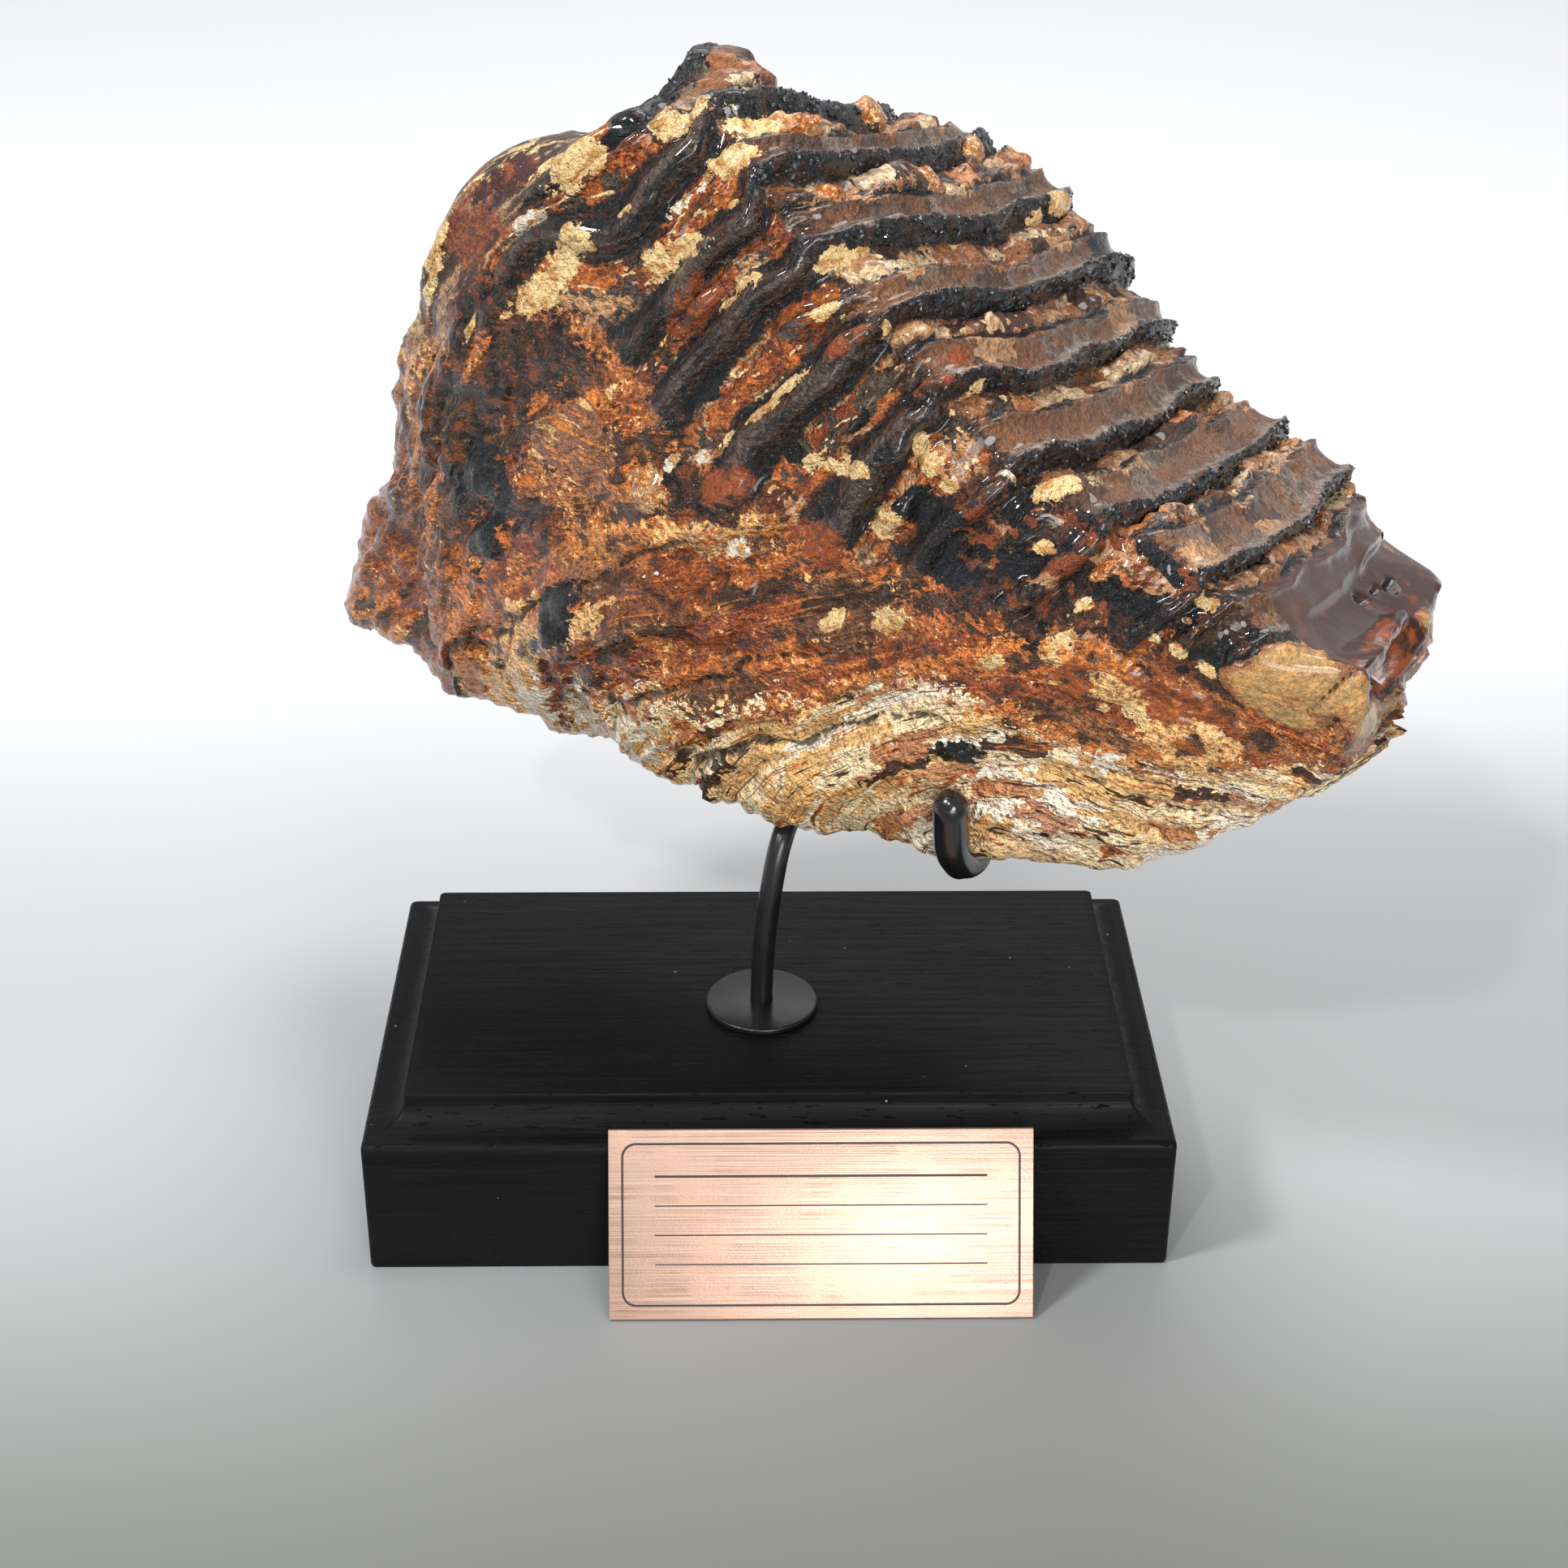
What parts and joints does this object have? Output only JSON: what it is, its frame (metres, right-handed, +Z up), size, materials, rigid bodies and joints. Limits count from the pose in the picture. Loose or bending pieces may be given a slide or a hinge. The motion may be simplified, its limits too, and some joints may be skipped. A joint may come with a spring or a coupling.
{
  "type": "fossil mammoth tooth on a display stand",
  "caption": "Ridged fossil mammoth molar held by sleeved rod prongs on a black moulded wooden plinth, with a bare copper name plate leaning on its front.",
  "frame": {"origin": "middle of the plinth's underside, on the table", "axes": "+Z is up, +X runs along the plinth's length towards the worn end of the tooth, and the name plate is on the -Y side"},
  "size_m": [0.1803, 0.1195, 0.1894],
  "materials": {
    "fossil_enamel_and_cement": "varnished, blue-black enamel with tan and cream cement",
    "black_stained_wood": "satin, open grain",
    "black_lacquered_steel": "semi-gloss",
    "black_sleeve": "glossy",
    "brushed_copper": "brushed satin"
  },
  "bodies": {
    "root": {"tooth": "fossil_enamel_and_cement", "plinth": "black_stained_wood", "flange": "black_lacquered_steel", "support_rod": "black_lacquered_steel", "front_hook_sleeve": "black_sleeve", "rear_prong_sleeve": "black_sleeve", "left_prong_sleeve": "black_sleeve", "name_plate": "brushed_copper"}
  },
  "joints": []
}
